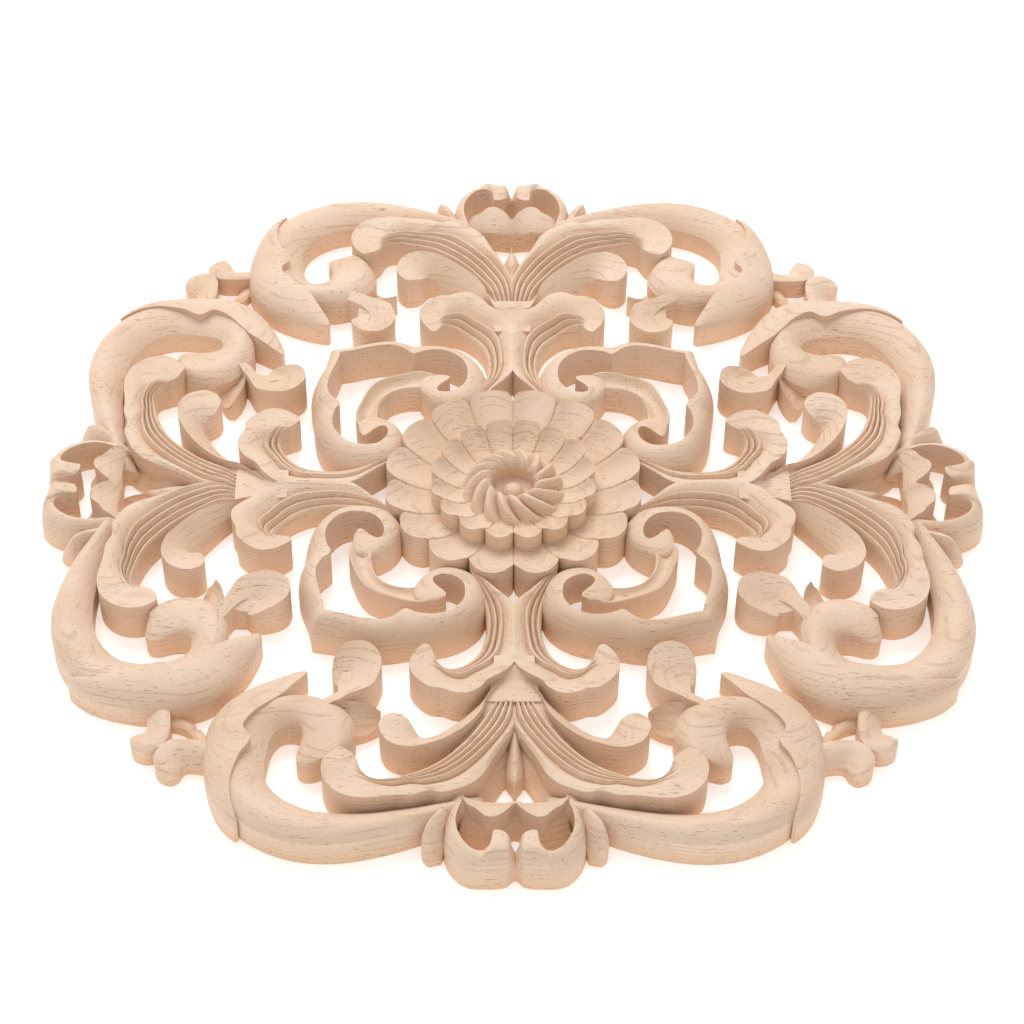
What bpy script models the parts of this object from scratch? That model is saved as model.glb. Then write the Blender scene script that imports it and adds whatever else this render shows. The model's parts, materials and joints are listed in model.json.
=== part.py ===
"""Round pierced applique in pale rubberwood, carved from one flat board.

The pattern is worked out in one eighth of the circle, between the arm that points
along +X and the diagonal, and is mirrored round the middle. Every leaf, band and
scroll is a carved strip: a top face between an inner and an outer edge, each edge a
smooth curve through a few points (x, y, height) in millimetres, with upright sides.
The back is flat on z = 0 and the middle of the back is the origin.
"""
import math

import bmesh
import bpy
import numpy as np

# Driving dimensions, in millimetres
MM = 0.001
BOARD_THICKNESS = 15.0
BENCH_SIZE = 400.0
SAW_DEPTH = 3.0
LONG_STEP = 2.7
SHORT_STEP = 2.2
WELD_DISTANCE = 0.00005

# Leaf, band and scroll faces: place across the strip from 0 to 1, share of the rise
# from the inner to the outer edge, and extra height of the carving there
ONE_GROOVE = [(0, 0, 0), (0.14, 0.25, 0.9), (0.26, 0.36, -0.7), (1, 1, 0)]
TWO_GROOVES = [(0, 0, 0), (0.15, 0.2, 0.9), (0.27, 0.3, -0.9), (0.44, 0.55, 0.7), (1, 1, 0)]
SCOOP = [(0, 0, 0), (0.45, 0.55, 0), (1, 1, 0)]
ROLLED_AWAY = [(0, 0, 0), (0.6, 0.22, 0), (1, 1, 0)]
CROWN = [(0, 0, 0), (0.55, 0.5, 3.8), (1, 1, 0)]
RIDGE = [(0, 0, 0), (0.5, 0.5, 2.5), (1, 1, 0)]
GUTTER = [(0, 0, 0), (0.5, 0.35, -1.3), (1, 1, 0)]
PLAIN = [(0, 0, 0), (1, 1, 0)]

# Flower: sixteen outer and sixteen inner petals, cupped, in two tiers
PETALS = 16
BEYOND_MIDDLE = 3.0
OUTER_PETALS = dict(notch=36.8, tip=41.3, root=22.0, root_height=7.5, rim_height=13.6, cup=1.3,
                    heart_height=6.5, rings=(0, 0.6, 1))
INNER_PETALS = dict(notch=23.6, tip=26.6, root=14.0, root_height=9.8, rim_height=14.4, cup=1.0,
                    heart_height=7.5, rings=(0, 1))
HEART_RADIUS = 6.8
SWIRL_OUTER = 16.2
SWIRL_LOBES = 14
SWIRL_LEAN = 0.75
SWIRL_CREST = 14.2
SWIRL_FOOT = 10.6
BUTTON_RADIUS = 3.4
BUTTON_HEIGHT = 10.5

WOOD_COLOUR = (0.72, 0.52, 0.37, 1.0)


def clear_scene():
    for leftover in list(bpy.data.objects):
        bpy.data.objects.remove(leftover, do_unlink=True)


def new_collection(name):
    collection = bpy.data.collections.new(name)
    bpy.context.scene.collection.children.link(collection)
    return collection


def wood():
    material = bpy.data.materials.new("pale rubberwood")
    material.use_nodes = True
    shader = material.node_tree.nodes["Principled BSDF"]
    shader.inputs["Base Color"].default_value = WOOD_COLOUR
    shader.inputs["Roughness"].default_value = 0.6
    shader.inputs["Metallic"].default_value = 0.0
    return material


def smooth_curve(points, samples):
    """Catmull-Rom curve through the points, read at evenly spaced parameters."""
    points = np.array(points, float)
    spans = len(points) - 1
    u = np.linspace(0, spans, samples)
    i = np.clip(np.floor(u).astype(int), 0, spans - 1)
    f = (u - i)[:, None]
    ends = np.vstack([2 * points[0] - points[1], points, 2 * points[-1] - points[-2]])
    a, b, c, d = ends[i], ends[i + 1], ends[i + 2], ends[i + 3]
    cubic = (2 * a - 5 * b + 4 * c - d) * f ** 2 + (3 * b - a - 3 * c + d) * f ** 3
    return 0.5 * (2 * b + (c - a) * f + cubic)


def add_solid(name, rings, closed, collection):
    """Closed loft through rings of points, in millimetres: end rings are capped
    unless the rings go right round and meet."""
    count, size = rings.shape[:2]
    mesh = bmesh.new()
    verts = [[mesh.verts.new(point * MM) for point in ring] for ring in rings]
    for i in range(count if closed else count - 1):
        here, after = verts[i], verts[(i + 1) % count]
        for j in range(size):
            k = (j + 1) % size
            mesh.faces.new((here[j], here[k], after[k], after[j]))
    if not closed:
        mesh.faces.new(verts[0][::-1])
        mesh.faces.new(verts[-1])
    bmesh.ops.recalc_face_normals(mesh, faces=mesh.faces)
    data = bpy.data.meshes.new(name)
    mesh.to_mesh(data)
    mesh.free()
    solid = bpy.data.objects.new(name, data)
    collection.objects.link(solid)
    solid.hide_render = True
    solid.display_type = "WIRE"
    return solid


def strip(name, stations, face, collection, step=LONG_STEP, fade=0.12):
    """Carved strip with upright sides. Each station gives x, y and height of the inner
    edge, then of the outer edge. A smooth curve runs through them, with a ring of
    points at each step along it. The extra carving fades out over a share of the
    length at both ends."""
    count = max(3, int(round((len(stations) - 1) / step)) + 1)
    edges = smooth_curve(stations, count)
    low, high = edges[:, :3], edges[:, 3:]
    along = np.linspace(0, 1, count)
    depth = np.clip(np.minimum(along, 1 - along) / fade, 0, 1)
    rings = np.zeros((count, len(face) + 2, 3))
    for j, (place, share, extra) in enumerate(face):
        rings[:, j, :2] = low[:, :2] + (high - low)[:, :2] * place
        height = low[:, 2] + (high - low)[:, 2] * share + extra * depth
        rings[:, j, 2] = np.minimum(height, BOARD_THICKNESS)
    rings[:, -2] = high
    rings[:, -1] = low
    rings[:, -2:, 2] = -SAW_DEPTH
    return add_solid(name, rings, False, collection)


def arm_leaves(collection):
    """Three leaves sweep off each side of an arm and curl back at their tips. The arm
    drops to a level neck between them, and a narrow drop hangs on its end."""
    strip("leaf by the flower",
          [(37, 13.5, 11, 38, 11.5, 11), (44, 10.8, 9.5, 44.5, 6, 11.3), (50, 9.2, 8, 50.5, 0.8, 11.8),
           (56, 8.4, 7.2, 56.5, -1.2, 12.2), (61, 8.6, 6.8, 64, -1.3, 12.4), (65.5, 9.8, 6.4, 71.5, -1.1, 12.2),
           (68.7, 11.5, 6.2, 76, 0.5, 12), (71.2, 13.6, 6.1, 79.8, 3.7, 12.6), (73.2, 15.9, 6.3, 82.8, 7.8, 13),
           (74.6, 18.2, 7, 86, 10.3, 13), (75.2, 20.2, 8, 88.5, 13.8, 13.6), (75.2, 21.8, 9.3, 88.6, 17.9, 13.9),
           (74.5, 23, 10.8, 87, 21.6, 13.8), (73.2, 23.9, 12, 86.4, 25.4, 14), (71.8, 24.5, 12.7, 83, 29.2, 13.9),
           (70.6, 25.1, 13.1, 78.9, 31.4, 13.8), (69.8, 25.8, 13.3, 73.6, 30.4, 13.8),
           (69.5, 26.6, 13.4, 70.6, 28.3, 13.6)], ONE_GROOVE, collection)
    strip("plain middle leaf",
          [(78, 3, 8, 78, 1, 9), (83, 5.5, 8.5, 83, 5.2, 10.5), (87, 8.6, 8.2, 88, 8.1, 12),
           (90.5, 12.5, 7.2, 93, 9.4, 12.2), (93.5, 16.2, 6, 98, 12.4, 12.5), (96.2, 20, 5.3, 102, 16.2, 12.8),
           (98.5, 23.2, 5.5, 105.4, 20.5, 13.2), (100.4, 25.8, 6.8, 108, 25, 14), (101.2, 27.6, 8.2, 109.4, 30, 14.2),
           (100.4, 29, 9.6, 109, 34, 14.3), (98.8, 30.2, 11, 106.8, 37.5, 14.2), (97.3, 31.4, 11.9, 103.6, 39.3, 14),
           (96.3, 33, 12.5, 100, 39.6, 13.8), (95.8, 35, 12.8, 97, 38, 13.4)], SCOOP, collection)
    strip("outer leaf",
          [(86, 5.4, 8.6, 86, -1.2, 8.6), (92.5, 7.6, 9.3, 92.5, -1.2, 9.7), (96, 9.5, 9.2, 96.5, -1, 10.2),
           (99.6, 11.8, 8.9, 100.8, 0.4, 10.8), (103, 14.2, 8.8, 104.8, 2.4, 11.6), (106.3, 17, 8.8, 109.6, 5, 12),
           (109.4, 20.1, 8.8, 114.4, 7.4, 12.2), (112.1, 23.5, 8.8, 118.9, 9.7, 12.6), (114.3, 27, 8.9, 122.3, 12.9, 13.2),
           (115.9, 30.6, 9, 124.3, 16.8, 13.5), (117.1, 34.4, 9.1, 125.8, 20.8, 14), (117.9, 38, 9.4, 125.4, 26, 13.9),
           (118.2, 41, 9.8, 126.6, 31, 14), (117.6, 43.2, 10.4, 127.2, 36, 14.1), (116, 44.6, 11.3, 127.8, 41, 14.2),
           (114, 45.4, 12, 127.8, 45.8, 14.2), (112, 46.4, 12.6, 126, 50.8, 14.2), (110.6, 47.6, 13, 122.2, 54.4, 14.2),
           (109.7, 49, 13.3, 117.2, 56, 14.2), (109.1, 50.6, 13.4, 112, 54.6, 13.8)], TWO_GROOVES, collection)
    strip("neck",
          [(72, -1.5, 11, 72, 6, 11), (76.5, -1.5, 11, 76.5, 6.3, 10.8), (80.6, -1.5, 9.3, 80.8, 7, 9.3),
           (88.5, -1.5, 9.6, 88.5, 7.9, 9.6)], PLAIN, collection, 1.4)
    strip("drop on the stem",
          [(94, -0.7, 8.4, 94, 0.7, 8.4), (102, -1.3, 7.5, 102, 1.3, 7.5), (110, -2.6, 5.5, 110, 2.6, 5.5),
           (113.5, -2.7, 4.5, 113.5, 2.7, 4.5), (118.4, -0.4, 5, 118.4, 0.4, 5)], RIDGE, collection, 1.4)
    strip("dish between the fans",
          [(99, 3, 8, 99, -1.2, 6), (105, 4.8, 8.4, 106, -0.6, 4.5), (112.5, 9, 8.8, 114.9, 3.7, 3.6),
           (117.6, 12.8, 9, 119.2, 6.2, 3.4), (123, 18, 9, 124.5, 10.5, 3.6)], PLAIN, collection, 1.4)


def lyre(collection):
    """Ogee band round a diagonal, sharp along its inner edge and rolled away outside.
    Its end curls into a hollow volute, and a gutter joins the volutes of two sides."""
    strip("ogee band",
          [(57.6, 62, 14.8, 61.2, 64.5, 6), (57.3, 58, 15, 62.2, 59, 6), (58.2, 53.4, 15, 63.4, 53.5, 6),
           (59.9, 47.9, 15, 65.6, 47.5, 6), (60.9, 43, 15, 66.6, 42.5, 6), (60.8, 39.4, 15, 66.6, 39, 6),
           (59.4, 36.3, 15, 66.2, 36, 6), (56.7, 33.2, 15, 65.6, 33.4, 6), (57.9, 30.2, 15, 65.3, 30.6, 6),
           (58.7, 26.6, 15, 64.9, 26.6, 6), (58.5, 23, 15, 64.1, 22.4, 6), (57.1, 19.8, 14.8, 62.6, 18, 6),
           (54.8, 17, 14.6, 59.9, 13.8, 6), (51.7, 15.3, 14.3, 56, 10.3, 6), (48.2, 14.9, 14, 50.5, 8.4, 6),
           (44.8, 15.5, 13.7, 44.3, 8.7, 6), (42.3, 17.5, 13.4, 38.6, 11.2, 7), (40.9, 20, 13.1, 35.6, 16, 8),
           (40.6, 22.6, 12.9, 35.2, 21.5, 9), (41.4, 24.6, 12.6, 37.4, 26.2, 9), (43, 24.9, 12.5, 41.2, 29.4, 9.5),
           (44.8, 23.8, 12.5, 45.1, 31, 10), (46.5, 22, 12.4, 49, 29.8, 10.3), (47.9, 20.9, 12.3, 50.4, 27, 10.5),
           (48.9, 21, 12, 50.3, 24, 10.7)], ROLLED_AWAY, collection, SHORT_STEP)
    strip("curved gutter",
          [(43.8, 25.5, 11.3, 48.5, 24, 11.3), (44.2, 31, 10.7, 51.4, 29.5, 11.7), (43.3, 37.4, 10.5, 49.7, 37, 12),
           (39.4, 42, 10.5, 46.6, 44, 12.3), (36.6, 43, 10.5, 44, 47.2, 12.5)], GUTTER, collection, 1.4)


def outer_scroll(collection):
    """Thick rounded band that curls in to a blunt head, wrapped by a wavy leaf that
    ends in a point near the diagonal, with a curled branch leaf and a thorn."""
    strip("scroll band",
          [(121, 9, 6, 127, 9.5, 8), (125, 20, 7.5, 130.5, 20, 9), (127.6, 32, 8, 134.8, 31.5, 9.6),
           (129, 43, 8, 138, 43.5, 9.6), (129, 53, 8, 139.6, 54.5, 9.6), (127.3, 61, 8, 138.6, 65, 9.4),
           (123.5, 67.6, 8, 134.4, 74.2, 9.2), (118.4, 71.8, 8, 127.6, 81.8, 9), (112.4, 73, 8, 119, 87, 8.6),
           (107, 72.6, 8, 110, 89.6, 8.4), (102, 71.6, 8.3, 101.5, 89.5, 8.4), (98.6, 69.4, 8.8, 94.3, 85, 8.8),
           (97.6, 66.4, 9, 89.4, 77, 9.2), (98.4, 63.6, 9.2, 87.2, 68.6, 9.6), (101, 62.4, 9.2, 87, 60.5, 9.6),
           (104.5, 62.8, 8.8, 89.4, 53.6, 9.4), (107.6, 63.8, 8.2, 93.6, 49, 9), (110.4, 63.6, 8, 98.6, 47, 8.6),
           (112, 61.8, 7.8, 103.6, 47.4, 8.2), (112.2, 59.6, 7.8, 107.8, 49.6, 8), (111.6, 57.6, 7.8, 110.2, 52.6, 7.8)],
          CROWN, collection, 1.3, 0.06)
    strip("wrap leaf",
          [(130.4, 80.4, 7.5, 131, 81.2, 6.5), (124.6, 81.2, 11.2, 126.6, 85.6, 5.5), (121, 82.7, 11.8, 122.6, 88, 5.5),
           (116.4, 81.9, 12.4, 117.6, 89.8, 5.5), (112, 80.2, 12.8, 111.8, 90.8, 5.5), (108.4, 78.6, 13, 106, 91.2, 5.5),
           (102.8, 79.1, 13.2, 99.6, 91, 5.5), (99.4, 76.3, 13.3, 94, 89.4, 5.5), (96.2, 75.3, 13.3, 89, 86.4, 5.5),
           (92.9, 72.2, 13.2, 84.6, 82, 5.5), (88.6, 68.6, 12.8, 81, 76.4, 5.5), (83.5, 65.6, 11.6, 78.4, 70.2, 6.5),
           (78.4, 62.5, 9.8, 76.8, 64.3, 9)], ROLLED_AWAY, collection)
    strip("branch leaf",
          [(97, 62, 9, 97, 54, 9.5), (88.6, 56.6, 10.4, 90, 52, 12), (86.2, 52.9, 10.6, 87.8, 48.4, 12.3),
           (83.8, 50, 10.6, 84.8, 42.4, 12.7), (81.4, 48.2, 10.4, 81, 40.6, 13.1), (79, 47.9, 10.3, 76.9, 39.7, 13.5),
           (77.2, 48.6, 10.5, 73, 40.6, 13.8), (76, 49.9, 10.9, 69.6, 43.4, 14), (75.6, 51.2, 11.4, 68.5, 47, 14),
           (75.7, 52.4, 11.7, 69.4, 50.6, 13.8), (76.4, 53.4, 11.5, 73, 53.6, 13)], SCOOP, collection)
    strip("thorn",
          [(98, 54, 8, 89.2, 54.5, 9), (97.6, 47, 7.6, 89.4, 46, 9), (95.8, 42, 7.4, 92, 41, 8.8),
           (94.6, 40.2, 7.6, 93.2, 40, 8)], PLAIN, collection, 1.4)


def arm_end(collection):
    """A lip of two scalloped shells rises away from the flower. Behind it are a pair of
    ram's horn volutes round an open pit, with a pointed leaf on each side."""
    strip("scalloped lip",
          [(120.6, -1.2, 2.6, 128.2, -1.2, 12.3), (121.3, 1.6, 2.7, 130.7, 1.9, 13.2), (122.1, 5.6, 3.1, 133.2, 6, 13.6),
           (121.6, 9.8, 3.9, 130.9, 9.7, 13.2), (120.8, 12, 4.8, 130.4, 11.3, 13.2), (120.6, 16, 7.5, 127.5, 14.9, 13)],
          SCOOP, collection, 1.4)
    strip("ram's horn volute",
          [(121, 14, 9.5, 119, 18, 6), (126, 15, 11.2, 124, 19, 6), (130.5, 16.4, 12, 129.5, 19.8, 5.5),
           (134.5, 17, 12.4, 135, 20.6, 5), (138.3, 16.4, 12.5, 140.4, 20.2, 4.5), (141.6, 14.9, 12.5, 145, 18.4, 4),
           (144, 12.9, 12.5, 148.2, 15.6, 4), (145.1, 11, 12.5, 149.5, 13.1, 4), (144.4, 9.9, 12.5, 149.8, 11.2, 4),
           (142.6, 9.8, 12.4, 149.85, 9.8, 4), (140.2, 8.9, 12.7, 149.85, 8.4, 4), (138.6, 7.2, 13, 149.85, 7, 4),
           (137.9, 5.4, 13.1, 149.8, 5.6, 4), (138.6, 3.4, 13, 149.6, 4, 4), (140.4, 1.8, 12.5, 149, 2.2, 4),
           (143.4, -0.8, 9.5, 147.6, -0.8, 4)], ROLLED_AWAY, collection)
    strip("side leaf",
          [(127, 18, 9.5, 127, 21.2, 9.5), (134, 19.8, 9, 134.6, 25.4, 9.2), (137, 20.3, 8, 138, 26.7, 8),
           (141.4, 21.2, 3, 142.2, 24.6, 3)], RIDGE, collection, 1.0, 0.3)


def trefoil(collection):
    """Two small hooks curl away from each other at a diagonal, with a low leaf."""
    strip("hook",
          [(112, 84, 5, 104, 84, 7), (108.9, 94.2, 4.4, 101.6, 96.5, 7.7), (109, 96.3, 4.5, 102, 101.2, 7.7),
           (109.9, 97.3, 4.8, 104.9, 103.7, 7.4), (111, 97.8, 5, 108, 105.6, 6.8), (111.9, 98.2, 5, 111.6, 104.3, 6),
           (112.7, 99, 5, 113.2, 101, 5.2)], SCOOP, collection, 1.4)
    strip("low leaf",
          [(104, 86, 3, 104, 93, 3), (99, 90, 3.5, 98.5, 94.5, 3.5), (94.5, 93, 3, 95, 97, 3)], PLAIN, collection, 1.4)


def petal_tier(name, tier, collection):
    """Scalloped cupped disc sector. The rim radius is the notch radius plus the lobe
    depth times the square root of |sin| of half the petal count times the angle."""
    angles = np.radians(np.linspace(-5.625, 50.625, 11))
    lobe = np.sqrt(np.abs(np.sin(PETALS / 2 * angles)))
    rim = tier["notch"] + (tier["tip"] - tier["notch"]) * lobe
    shares = tier["rings"]
    rings = np.zeros((len(angles), len(shares) + 3, 3))
    for j, share in enumerate(shares):
        radius = tier["root"] + (rim - tier["root"]) * share
        rise = (tier["rim_height"] - tier["root_height"]) * share ** 1.6
        rings[:, j, 0] = radius * np.cos(angles)
        rings[:, j, 1] = radius * np.sin(angles)
        rings[:, j, 2] = tier["root_height"] + rise - tier["cup"] * (1 - lobe) * share
    rings[:, -3] = rings[:, -4]
    rings[:, -3:, 2] = -SAW_DEPTH
    rings[:, -2, :2] = rings[:, 0, :2] * 0.05 - (BEYOND_MIDDLE, BEYOND_MIDDLE * math.tan(math.radians(22.5)))
    rings[:, -1, :2] = rings[:, -2, :2]
    rings[:, -1, 2] = tier["heart_height"]
    return add_solid(name, rings, False, collection)


def swirl(collection):
    """Ring of leaning lobes round the hollow heart of the flower."""
    turns = np.linspace(0, 2 * math.pi, SWIRL_LOBES * 2, endpoint=False)
    section = [(SWIRL_OUTER, SWIRL_FOOT, 0.0), (13.4, 13.6, 0.7), (10.4, SWIRL_CREST, 0.8),
               (HEART_RADIUS, 12.2, 0.3), (HEART_RADIUS, 4.0, 0.0), (SWIRL_OUTER, 4.0, 0.0)]
    rings = np.zeros((len(turns), len(section), 3))
    for j, (radius, height, wave) in enumerate(section):
        lean = SWIRL_LEAN * (SWIRL_OUTER - radius) / SWIRL_OUTER
        ripple = np.cos(SWIRL_LOBES * turns)
        rings[:, j, 0] = radius * np.cos(turns + lean)
        rings[:, j, 1] = radius * np.sin(turns + lean)
        rings[:, j, 2] = height + wave * ripple
    return add_solid("swirl", rings, True, collection)


def button(collection):
    bpy.ops.mesh.primitive_uv_sphere_add(segments=10, ring_count=5, radius=BUTTON_RADIUS * MM,
                                         location=(0, 0, (BUTTON_HEIGHT - BUTTON_RADIUS) * MM))
    sphere = bpy.context.object
    sphere.name = "button"
    for owner in list(sphere.users_collection):
        owner.objects.unlink(sphere)
    collection.objects.link(sphere)
    sphere.hide_render = True
    sphere.display_type = "WIRE"
    return sphere


def bench(collection):
    """Everything below the back of the board, which the union is trimmed against."""
    bpy.ops.mesh.primitive_cube_add(size=1, location=(0, 0, -0.5 * BENCH_SIZE * MM))
    block = bpy.context.object
    block.name = "bench"
    block.scale = (BENCH_SIZE * MM,) * 3
    bpy.ops.object.transform_apply(location=False, rotation=False, scale=True)
    for owner in list(block.users_collection):
        owner.objects.unlink(block)
    collection.objects.link(block)
    block.hide_render = True
    block.display_type = "WIRE"
    return block


def add_boolean(target, name, operation, operand):
    boolean = target.modifiers.new(name, "BOOLEAN")
    boolean.operation = operation
    boolean.solver = "EXACT"
    if isinstance(operand, bpy.types.Collection):
        boolean.operand_type = "COLLECTION"
        boolean.collection = operand
    else:
        boolean.object = operand


def add_weld(target):
    """Closes up slivers of the joined carving."""
    weld = target.modifiers.new("close slivers", "WELD")
    weld.merge_threshold = WELD_DISTANCE


def add_mirrors(target, collection):
    """Mirrors the eighth across the diagonal, then the quarter across both axes."""
    diagonal = bpy.data.objects.new("diagonal", None)
    diagonal.rotation_euler = (0, 0, math.radians(-45))
    collection.objects.link(diagonal)
    for name, guide, axes in (("diagonal", diagonal, (True, False, False)),
                              ("both axes", None, (True, True, False))):
        mirror = target.modifiers.new(name, "MIRROR")
        mirror.use_axis = axes
        mirror.use_bisect_axis = axes
        mirror.mirror_object = guide
        mirror.use_mirror_merge = True
        mirror.merge_threshold = 0.00001
        mirror.bisect_threshold = 0.00001


def main():
    clear_scene()
    cutters = new_collection("carving shapes")
    middle = new_collection("flower heart")
    guides = new_collection("guides")
    parts = new_collection("wood applique")

    arm_leaves(cutters)
    lyre(cutters)
    outer_scroll(cutters)
    arm_end(cutters)
    trefoil(cutters)
    petal_tier("inner petals", INNER_PETALS, cutters)
    applique = petal_tier("applique", OUTER_PETALS, parts)
    applique.hide_render = False
    applique.display_type = "TEXTURED"
    swirl(middle)
    button(middle)

    add_boolean(applique, "join the carving", "UNION", cutters)
    add_boolean(applique, "flat back", "DIFFERENCE", bench(guides))
    add_weld(applique)
    add_mirrors(applique, guides)
    add_boolean(applique, "join the heart", "UNION", middle)
    applique.data.materials.append(wood())


main()
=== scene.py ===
import json
import math

import bmesh
import bpy
import numpy as np
from mathutils import Matrix, Vector

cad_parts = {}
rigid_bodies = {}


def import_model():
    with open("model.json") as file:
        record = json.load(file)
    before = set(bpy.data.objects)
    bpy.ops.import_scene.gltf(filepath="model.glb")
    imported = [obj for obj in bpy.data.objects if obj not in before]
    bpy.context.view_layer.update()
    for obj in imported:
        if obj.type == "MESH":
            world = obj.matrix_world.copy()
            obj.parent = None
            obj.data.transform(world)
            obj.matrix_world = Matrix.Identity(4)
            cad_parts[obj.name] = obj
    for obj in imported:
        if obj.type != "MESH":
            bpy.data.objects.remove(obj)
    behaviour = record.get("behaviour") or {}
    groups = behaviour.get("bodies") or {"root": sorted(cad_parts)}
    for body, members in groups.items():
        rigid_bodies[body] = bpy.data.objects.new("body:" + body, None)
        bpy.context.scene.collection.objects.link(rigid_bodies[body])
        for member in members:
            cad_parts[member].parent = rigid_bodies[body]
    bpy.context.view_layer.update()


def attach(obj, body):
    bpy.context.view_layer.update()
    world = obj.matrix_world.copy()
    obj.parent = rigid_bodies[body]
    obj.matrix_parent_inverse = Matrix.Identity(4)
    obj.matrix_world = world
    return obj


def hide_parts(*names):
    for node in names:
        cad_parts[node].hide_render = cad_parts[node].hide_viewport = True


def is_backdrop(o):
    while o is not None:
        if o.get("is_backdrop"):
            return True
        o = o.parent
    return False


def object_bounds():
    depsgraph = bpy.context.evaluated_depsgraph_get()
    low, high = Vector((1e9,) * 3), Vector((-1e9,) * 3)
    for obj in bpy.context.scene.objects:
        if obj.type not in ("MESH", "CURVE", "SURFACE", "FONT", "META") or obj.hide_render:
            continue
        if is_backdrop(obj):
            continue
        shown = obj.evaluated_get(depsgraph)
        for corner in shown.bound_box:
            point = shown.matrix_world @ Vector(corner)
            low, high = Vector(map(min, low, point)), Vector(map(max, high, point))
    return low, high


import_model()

# Leaf by the flower
# The applique is one board of rubberwood, carved by a router and cut right through
# between the ornament. One eighth of it is worked out, in millimetres from the middle
# of the back, and mirrored. Its first leaf has three beads beside a broad rolled edge.
MM = 0.001
BOARD = 15.0
SAW = 2.0
PITCH = 1.5
LEAF_PITCH = 1.4
RIBS = [6, 6, 6, 4]
eighth = bpy.data.collections.new("one eighth of the carving")
bpy.context.scene.collection.children.link(eighth)


def curve(points, samples):
    """Catmull-Rom curve through rows of numbers, read at evenly spaced parameters."""
    points = np.array(points, float)
    spans = len(points) - 1
    u = np.linspace(0, spans, samples)
    i = np.clip(np.floor(u).astype(int), 0, spans - 1)
    f = (u - i)[:, None]
    ends = np.vstack([2 * points[0] - points[1], points, 2 * points[-1] - points[-2]])
    a, b, c, d = ends[i], ends[i + 1], ends[i + 2], ends[i + 3]
    cubic = (2 * a - 5 * b + 4 * c - d) * f ** 2 + (3 * b - a - 3 * c + d) * f ** 3
    return 0.5 * (2 * b + (c - a) * f + cubic)


def solid(name, rings, closed, collection):
    """Closed mesh through a whole array of rings of points in mm, capped at its ends
    unless the rings meet."""
    count, size = rings.shape[:2]
    last = count if closed else count - 1
    i, j = np.meshgrid(np.arange(last), np.arange(size), indexing="ij")
    after, beside = (i + 1) % count, (j + 1) % size
    quads = np.stack([i * size + j, i * size + beside, after * size + beside, after * size + j], -1)
    faces = quads.reshape(-1, 4).tolist()
    if not closed:
        faces += [list(range(size))[::-1], [(count - 1) * size + k for k in range(size)]]
    data = bpy.data.meshes.new(name)
    data.from_pydata((rings.reshape(-1, 3) * MM).tolist(), [], faces)
    mesh = bmesh.new()
    mesh.from_mesh(data)
    bmesh.ops.recalc_face_normals(mesh, faces=mesh.faces)
    mesh.to_mesh(data)
    mesh.free()
    made = bpy.data.objects.new(name, data)
    collection.objects.link(made)
    return made


def beaded(places, shares, crowns, columns):
    """Face of beads side by side, with a sharp cut between two. A bead runs from one
    place to the next across the strip, 0 at the inner edge and 1 at the outer, and
    rises crown * (1 - t * t) over the straight line between its sides, with t from
    -1 to 1 across the bead."""
    parts = []
    for k, crown in enumerate(crowns):
        t = np.linspace(0, 1, columns[k] + 1)[(1 if k else 0):]
        parts.append(np.stack([places[k] + (places[k + 1] - places[k]) * t,
                               shares[k] + (shares[k + 1] - shares[k]) * t,
                               crown * (1 - (2 * t - 1) ** 2)], -1))
    return np.concatenate(parts)


def rolled(columns):
    """Face that leaves its inner edge level and turns down (or up) like a quarter of
    an ellipse to the outer edge."""
    t = np.linspace(0, 1, columns + 1) * math.pi / 2
    return np.stack([np.sin(t), 1 - np.cos(t), 0 * t], -1)


def rolled_between(places, columns):
    """The same quarter of an ellipse, with its columns spread between the places of a
    beaded face, so that the beads run out into it in line."""
    steps = [np.linspace(places[k], places[k + 1], n + 1)[(1 if k else 0):]
             for k, n in enumerate(columns)]
    place = np.concatenate(steps)
    return np.stack([place, 1 - np.sqrt(np.maximum(1 - place ** 2, 0)), 0 * place], -1)


def strip(name, stations, faces, fade=0.05, pitch=PITCH):
    """Carved strip with upright sides, which reach below the back by the saw's depth.
    Each row of stations gives x, y and height of the inner edge, then of the outer
    edge, with a smooth curve through them. A point of a face lies at its place between
    the edges. Its height is the inner edge's, plus its share of the rise to the outer
    edge, plus its crown. The faces are pairs of a share of the length and the face
    there, and blend as 3t^2 - 2t^3 from one to the next. The crowns fade out as a
    square root over a share of the length at both ends."""
    stations = np.array(stations, float)
    length = np.sum(np.hypot(*np.diff(stations[:, 3:5], axis=0).T))
    count = max(8, int(round(length / pitch)) + 1)
    edges = curve(stations, count)
    low, high = edges[:, :3], edges[:, 3:]
    u = np.linspace(0, 1, count)
    shapes = np.array([face for share, face in faces] + [faces[-1][1]])
    at = np.interp(u, [share for share, face in faces], np.arange(len(faces)))
    i = np.floor(at).astype(int)
    t = (at - i)[:, None, None]
    turn = t * t * (3 - 2 * t)
    face = shapes[i] * (1 - turn) + shapes[i + 1] * turn
    place, share, extra = face[..., 0], face[..., 1], face[..., 2]
    ends = np.clip(np.minimum(u, 1 - u) / max(fade, 1e-6), 0, 1)[:, None] ** 0.5
    rings = np.zeros((count, face.shape[1] + 2, 3))
    rings[:, :-2, :2] = low[:, None, :2] + (high - low)[:, None, :2] * place[..., None]
    height = low[:, None, 2] + (high - low)[:, None, 2] * share + extra * ends
    rings[:, :-2, 2] = np.minimum(height, BOARD)
    rings[:, -2], rings[:, -1] = rings[:, -3], rings[:, 0]
    rings[:, -2:, 2] = -SAW
    return solid(name, rings, False, eighth)


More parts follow.
